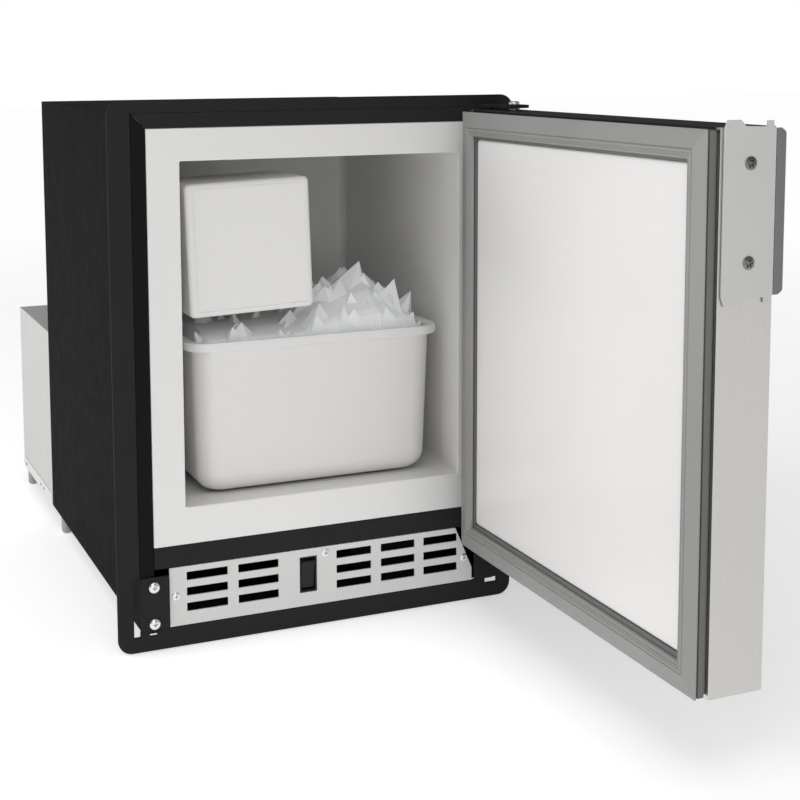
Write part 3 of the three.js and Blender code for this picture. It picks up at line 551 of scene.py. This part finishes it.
def mound(inside, top):
    """The heap's closed base: a square grid bent to the tub's corners, at heap_top less 9 mm and falling
    to 8 mm under the rim over the last 8 mm, with a skirt down to a flat foot."""
    left, right, front, back = inside
    steps = MOUND_STEPS
    x, y = np.meshgrid(np.linspace(left, right, steps), np.linspace(front, back, steps), indexing="ij")
    edge = np.minimum(np.minimum(x - left, right - x), np.minimum(y - front, back - y))
    z = heap_top(x, y, top) - 9 * MM
    z = z - (z - (top - MOUND_EDGE)) * np.clip(1 - edge / MOUND_EDGE, 0, 1)
    crown = kept_inside(np.stack([x, y, z], -1).reshape(-1, 3), inside, HEAP_CORNER)
    index = np.arange(steps * steps).reshape(steps, steps)
    quads = np.stack([index[:-1, :-1], index[1:, :-1], index[1:, 1:], index[:-1, 1:]], -1)
    rim = np.concatenate([index[:-1, 0], index[-1, :-1], index[:0:-1, -1], index[0, :0:-1]])
    skirt = crown[rim] * (1, 1, 0) + (0, 0, top - MOUND_FOOT)
    here = np.arange(len(rim))
    beside = (here + 1) % len(rim)
    walls = np.stack([rim, rim[beside], steps ** 2 + beside, steps ** 2 + here], -1)
    faces = quads.reshape(-1, 4).tolist() + walls.tolist() + [(steps ** 2 + here).tolist()]
    return np.concatenate([crown, skirt]), faces


def all_shards(inside, top):
    """The crest's big shards and then the loose ones, whose tips lie about the heap's top."""
    left, right, front, back = inside
    rng = np.random.default_rng(HEAP_SEED)
    loose = LOOSE_SHARDS
    tip = np.stack([rng.uniform(left, right, loose), rng.uniform(front, back, loose), np.zeros(loose)], -1)
    tip[:, 2] = heap_top(tip[:, 0], tip[:, 1], top) + rng.uniform(-7 * MM, 2.5 * MM, loose)
    foot = tip[:, :2] + rng.uniform(-12 * MM, 12 * MM, (loose, 2))
    reach = rng.uniform(22 * MM, 36 * MM, loose)
    tall = rng.uniform(26 * MM, 36 * MM, loose)
    big_tip, big_foot, big_reach, big_tall = (np.array(column) * MM for column in zip(*CREST))
    tip = np.concatenate([big_tip, tip])
    foot = np.concatenate([big_tip[:, :2] + big_foot, foot])
    reach = np.concatenate([big_reach, reach])
    tall = np.concatenate([big_tall, tall])
    return kept_inside(shards(tip, foot, reach, tall, rng), inside, HEAP_CORNER)


def ice_heap():
    """A low mound inside the tub with shards standing in it, low at the left and high at the right."""
    rect, _, top = bin_body()
    inside = inset(rect, HEAP_CLEAR)
    points, faces = mound(inside, top)
    flakes = all_shards(inside, top)
    count, size = flakes.shape[:2]
    first = len(points) + np.arange(count)[:, None, None] * size
    foot = np.arange(1, size)
    sides = np.stack([np.zeros(size - 1, int), foot, np.roll(foot, -1)], -1)
    faces += (first + sides[None]).reshape(-1, 3).tolist()
    faces += (first[:, 0] + foot[None, ::-1]).tolist()
    points = np.concatenate([points, flakes.reshape(-1, 3)])
    made = piece("ice_heap", points, faces, "bin", "bin_plastic", ICE)
    made.data.shade_flat()


# ---- door -----------------------------------------------------------------------------------
RING_CORNER = 1.2 * MM
HINGE_RELIEF = 5.6
RELIEF_DEPTH = 3.2


def door_ring(name, rect, section, slot, material, node, relief_from=None):
    """A closed section of (inset, x) pairs in mm carried round a rectangle with mitred corners. Where x
    lies short of relief_from, the hinge side is drawn in, evenly up to 5.6 mm over 3.2 mm of x."""
    levels = []
    for d, x in section:
        a0, a1, b0, b1 = inset(rect, d * MM)
        if relief_from is not None:
            relief = max(0.0, (relief_from - x) * HINGE_RELIEF / RELIEF_DEPTH)
            a1 = min(a1, rect[1] - relief * MM)
        levels.append(((a0, a1, b0, b1), max(RING_CORNER - d * MM, 0.25 * MM), x * MM))
    points, faces = stacked(levels, "x", 4, wrap=True)
    piece(name, points, faces, "door", slot, material, node)


# The gasket's section as (inset, height above its sealing face) in mm: a bead at the outer edge, the
# sloping face, and the ribs inside it.
GASKET = ((0.9, 3.9), (0.9, 3.4), (0, 3.1), (0, 2.6), (0.7, 2.2), (6, 1.3), (12.6, 0.15), (13.3, 0.9),
          (14, 0.1), (15.2, 0), (16, 0.8), (17, 0.4), (17.8, 1.4), (18.6, 1.1), (19.6, 1.5),
          (20, 2.4), (20, 3.9))


def gasket():
    """The seal round the inner panel, its hinge side relieved to clear the cabinet's front."""
    low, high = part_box("door_gasket")
    rect = (low.y, high.y, low.z, high.z)
    face = low.x / MM
    section = [(d, face + h) for d, h in GASKET]
    door_ring("gasket_profile", rect, section, "gasket_vinyl", FINISHES["gasket_vinyl"], "door_gasket",
              face + RELIEF_DEPTH)


def retainer():
    """The grey frame that holds the gasket: a flat strip with a stepped and rounded outer edge."""
    low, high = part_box("gasket_retainer")
    rect = (low.y, high.y, low.z, high.z)
    near, far = low.x / MM, high.x / MM
    section = [(0.2, near), (0, near + 0.5), (0, far - 2.4), (0.3, far - 2.0), (1.8, far - 1.9),
               (1.8, far), (22, far), (22, near + 1.6), (21.6, near + 1.2), (19, near)]
    door_ring("retainer_profile", rect, section, "black_plastic", FINISHES["retainer_plastic"],
              "gasket_retainer")


PANEL_SOFT = 2.2 * MM


def inner_door_panel():
    """A shallow glossy pan: flat, with a soft turned-down edge."""
    low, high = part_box("door_inner_panel")
    rect = (low.y, high.y, low.z, high.z)
    levels = [(rect, 2 * MM, high.x), (rect, 2 * MM, low.x + PANEL_SOFT)]
    for d, h in arc((0, PANEL_SOFT), (PANEL_SOFT, 0), "height"):
        levels.append((inset(rect, d), 2.6 * MM, low.x + h))
    points, faces = stacked(levels, "x", 5)
    piece("inner_panel_gloss", points, faces, "door", "door_panel_plastic", FINISHES["door_panel_plastic"],
          "door_inner_panel")


# ---- screws ---------------------------------------------------------------------------------
HEAD_RINGS = 26
HEAD_TURNS = 48
RECESS_DEPTH = 0.42
RECESS_SLOPE = 0.12


def screw(name, node, recess, body, material, dome, points_of_star=4):
    """A domed head with a recess, its sizes as shares of the head's radius: a point lies behind the crown
    by dome times 1 less the root of 1 - r^2, plus a star-shaped dip whose edge radius swings with the
    cosine of the turn."""
    low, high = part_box(node)
    middle = (low + high) / 2
    radius = (high.x - low.x) / 2
    r = np.concatenate([np.linspace(0.001, 1, HEAD_RINGS), [1.0]])
    t = np.arange(HEAD_TURNS) * 2 * math.pi / HEAD_TURNS
    out, turn = np.meshgrid(r, t, indexing="ij")
    edge = recess * (0.72 + 0.28 * np.cos(points_of_star * turn))
    dip = np.clip((edge - out) / RECESS_SLOPE, 0, 1)
    fall = dome * (1 - np.sqrt(np.clip(1 - out ** 2 * 0.98, 0, 1)))
    depth = radius * (fall + RECESS_DEPTH * dip)
    depth[-1] = radius * dome + (high.y - low.y) * 0.25
    points = np.stack([middle.x + radius * out * np.cos(turn), low.y + depth,
                       middle.z + radius * out * np.sin(turn)], -1).reshape(-1, 3)
    rows = len(r)
    faces = grid_faces(rows, HEAD_TURNS, False)
    faces += [list(range(HEAD_TURNS)), list(range((rows - 1) * HEAD_TURNS, rows * HEAD_TURNS))]
    piece(name, points, faces, body, "zinc_steel", material, node)


def all_screws():
    bright = FINISHES["zinc_steel"]
    for place in ("left", "middle", "right"):
        screw(f"grille_screw_head_{place}", f"grille_screw_{place}", 0.5, "cabinet", bright, 0.3)
    for place in ("upper", "lower"):
        screw(f"corner_screw_head_{place}", f"corner_screw_{place}", 0.42, "cabinet", bright, 0.4)
        screw(f"latch_screw_head_{place}", f"latch_screw_{place}", 0.75, "door", SCREW_DARK, 0.15, 6)


# ---- small trim -------------------------------------------------------------------------------
def flat_bar(name, rect, corner, axis, start, end, soft, slot, material):
    """A bar with rounded corners: one outline carried from start to end, its far edge rolled by soft."""
    way = 1 if end > start else -1
    levels = [(rect, corner, start)]
    for d, h in arc((0, -soft), (soft, 0), "height", 3):
        levels.append((inset(rect, d), max(corner - d, 0.1 * MM), end + h * way))
    points, faces = stacked(levels, axis, 4)
    piece(name, points, faces, "cabinet", slot, material)


STRIP_FOLD = 12 * MM
RIVET_RADIUS = 1.6 * MM
RIVETS_FROM_FRONT = (45 * MM, 62 * MM)
RIVET_FROM_BACK = 20 * MM
CLIP = (-156 * MM, -150 * MM, 14 * MM, 15.2 * MM)


def housing_trim():
    """The folded strip along the housing's lower left edge, with its three rivets."""
    low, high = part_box("compressor_hood")
    side = low.x
    strip = (low.y + 1 * MM, high.y - 3 * MM, low.z + 0.5 * MM, low.z + STRIP_FOLD)
    flat_bar("housing_strip", strip, 1 * MM, "x", side + 0.3 * MM, side - 0.8 * MM, 0.4 * MM,
             "grey_paint", STRIP_PAINT)
    r = RIVET_RADIUS
    z = low.z + STRIP_FOLD / 2
    places = [low.y + back for back in RIVETS_FROM_FRONT] + [high.y - RIVET_FROM_BACK]
    for count, y in enumerate(places):
        flat_bar(f"strip_rivet_{count + 1}", (y - r, y + r, z - r, z + r), r, "x", side - 0.5 * MM,
                 side - 1.5 * MM, 0.6 * MM, "zinc_steel", SCREW_DARK)


def corner_clip():
    """A small bright bar on the mounting flange, near its foot and under the blank plate's screws."""
    low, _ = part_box("mounting_flange")
    flat_bar("corner_clip", CLIP, 0.4 * MM, "y", low.y + 0.3 * MM, low.y - 0.5 * MM, 0.2 * MM,
             "zinc_steel", FINISHES["zinc_steel"])


# ---- everything else ------------------------------------------------------------------------
# CAD solids shown with rolled edges, and the width of the roll in mm.
ROLLED = {
    "mounting_flange": 0.5, "side_panel_left": 0.4, "side_panel_right": 0.4, "top_panel": 0.4,
    "back_panel": 0.3, "base_pan": 0.3, "cross_rail": 0.3, "blank_hinge_plate": 0.5, "grille_panel": 0.25,
    "switch_body": 0.3, "switch_rocker": 0.5, "hinge_bracket_upper": 0.4, "hinge_bracket_lower": 0.4,
    "hinge_pin_upper": 0.3, "hinge_pin_lower": 0.3, "door_skin": 0.2, "door_top_cap": 0.3,
    "door_bottom_cap": 0.3, "latch_plate": 0.35, "compressor_hood": 0.5,
    "compressor": 0.6, "compressor_mount_front": 0.8, "compressor_mount_rear": 0.8, "condenser": 0.1,
    "fan_shroud": 0.4, "fan_motor": 0.5, "fan_blade": 0.2, "refrigerant_line": 0.2, "control_box": 1.0,
    "water_inlet_valve": 0.5, "cable_gland": 0.4, "drain_stub": 0.2, "ejector_drive": 1.0, "ice_mould": 0.4,
    "ejector_rake": 0.4, "module_bracket": 0.3, "fill_tube": 0.3,
    "foot_middle_left": 0.5, "foot_middle_right": 0.5, "foot_rear_left": 0.5, "foot_rear_right": 0.5,
}
# The side panels' darker black is painted shade, set against the side light.
SPECIAL = {
    "side_panel_left": SIDE_BLACK_SHADED, "side_panel_right": SIDE_BLACK_SHADED, "compressor_hood": HOUSING_PAINT,
}
# CAD solids shown just as they are, under a finish.
KEPT = ["insulation_foam", "door_foam", "hinge_bush_upper", "hinge_bush_lower", "shutoff_arm"]


def carried_over():
    """Every CAD solid that no new surface replaces."""
    for node, width in ROLLED.items():
        rolled(node, width * MM, material=SPECIAL.get(node))
    # The lever's dark grey is painted shade on its lip.
    rolled("latch_lever", 0.4 * MM, 3, LEVER_SHADE_GREY)
    for node in KEPT:
        solid = frame["nodes"][node]
        solid.data.materials.clear()
        solid.data.materials.append(FINISHES[slot_of(node)])


# ---- stage ----------------------------------------------------------------------------------
# The floor's glow beside the object and far off, those two distances, half the floor's width and how
# far it lies below z = 0. SKY is the sky's strength for everything but the camera.
FLOOR_GLOW = (0.45, 0.64)
GLOW_REACH = (0.6, 3.0)
FLOOR_REACH = 14.0
FLOOR_BELOW = 0.0005
SKY = 0.12


def stage():
    """A pale floor lit from within like a light table, under a sky that the camera sees as white and
    that lights things only a little."""
    mesh = bpy.data.meshes.new("floor")
    corners = [(-1, -1), (1, -1), (1, 1), (-1, 1)]
    points = [(FLOOR_REACH * x, FLOOR_REACH * y, -FLOOR_BELOW) for x, y in corners]
    mesh.from_pydata(points, [], [(0, 1, 2, 3)])
    floor = bpy.data.objects.new("floor", mesh)
    bpy.context.scene.collection.objects.link(floor)
    g = Graph(bpy.data.materials.new("pale_floor"))
    tone = g.blend(g.span(g.noise(1.5, 2.0), 0, 1), (0.93, 0.93, 0.925), (0.95, 0.95, 0.945))
    g.set(Base_Color=tone, Roughness=0.9)
    g.shader.inputs["Specular IOR Level"].default_value = 0.0
    where = g.node("ShaderNodeTexCoord", out="Object")
    distance = g.node("ShaderNodeVectorMath", {"operation": "LENGTH"}, {0: where}, "Value")
    g.set(Emission_Color=g.span(distance, *FLOOR_GLOW, *GLOW_REACH))
    g.shader.inputs["Emission Strength"].default_value = 1.0
    mesh.materials.append(g.owner)
    sky = Graph(bpy.data.worlds.new("studio"), "Background")
    sky.shader.inputs["Color"].default_value = (1, 1, 1, 1)
    sky.set(Strength=SKY + (1 - SKY) * sky.node("ShaderNodeLightPath"))
    bpy.context.scene.world = sky.owner
    bpy.context.scene.view_settings.view_transform = "Standard"


def soft_light(name, place, target, size, power):
    """A square light of size metres and power watts that faces its target."""
    data = bpy.data.lights.new(name, "AREA")
    data.shape = "SQUARE"
    data.size = size
    data.energy = power
    lamp = bpy.data.objects.new(name, data)
    lamp.location = place
    lamp.rotation_euler = (Vector(target) - Vector(place)).to_track_quat("-Z", "Y").to_euler()
    bpy.context.scene.collection.objects.link(lamp)


def top_light(strength):
    """A wide even light from overhead, slightly from the front left."""
    data = bpy.data.lights.new("top_light", "SUN")
    data.energy = strength
    data.angle = math.radians(70)
    lamp = bpy.data.objects.new("top_light", data)
    lamp.rotation_euler = (math.radians(20), math.radians(-15), 0)
    bpy.context.scene.collection.objects.link(lamp)


# The camera: lens and sensor in mm, shift as a share of the frame, and its turns in degrees, to the
# right, down, and about the lens axis.
LENS = 65.74
SENSOR = 36
SHIFT = (0.055, -0.225)
CAMERA_PLACE = (-0.4453, -1.1467, 0.4913)
CAMERA_TURNS = (22.60, 6.39, -0.29)


def camera():
    """Stands to the left of the open door, a little above the cabinet, lens axis tilted slightly down."""
    data = bpy.data.cameras.new("camera")
    data.lens = LENS
    data.sensor_width = SENSOR
    data.shift_x, data.shift_y = SHIFT
    view = bpy.data.objects.new("camera", data)
    view.location = CAMERA_PLACE
    yaw, pitch, roll = (math.radians(angle) for angle in CAMERA_TURNS)
    view.rotation_mode = "XYZ"
    forward = Vector((math.sin(yaw) * math.cos(pitch), math.cos(yaw) * math.cos(pitch), -math.sin(pitch)))
    level = Vector((math.cos(yaw), -math.sin(yaw), 0))
    raised = level.cross(forward)
    right = level * math.cos(roll) + raised * math.sin(roll)
    up = raised * math.cos(roll) - level * math.sin(roll)
    basis = np.array([right, up, -forward]).T
    view.rotation_euler = Matrix(basis.tolist()).to_euler()
    bpy.context.scene.collection.objects.link(view)
    bpy.context.scene.camera = view


camera()
stage()
soft_light("front_light", (-0.5, -2.6, 0.5), (0, 0, 0.2), size=1.6, power=10)
soft_light("door_light", (-0.25, -0.75, 0.75), (0.12, -0.33, 0.35), size=0.3, power=0.8)
soft_light("side_light", (-1.45, 0.55, 0.8), (0.12, -0.25, 0.3), size=0.9, power=11)
top_light(0.85)
liner()
module()
ice_tub()
ice_heap()
gasket()
retainer()
inner_door_panel()
all_screws()
housing_trim()
corner_clip()
carried_over()
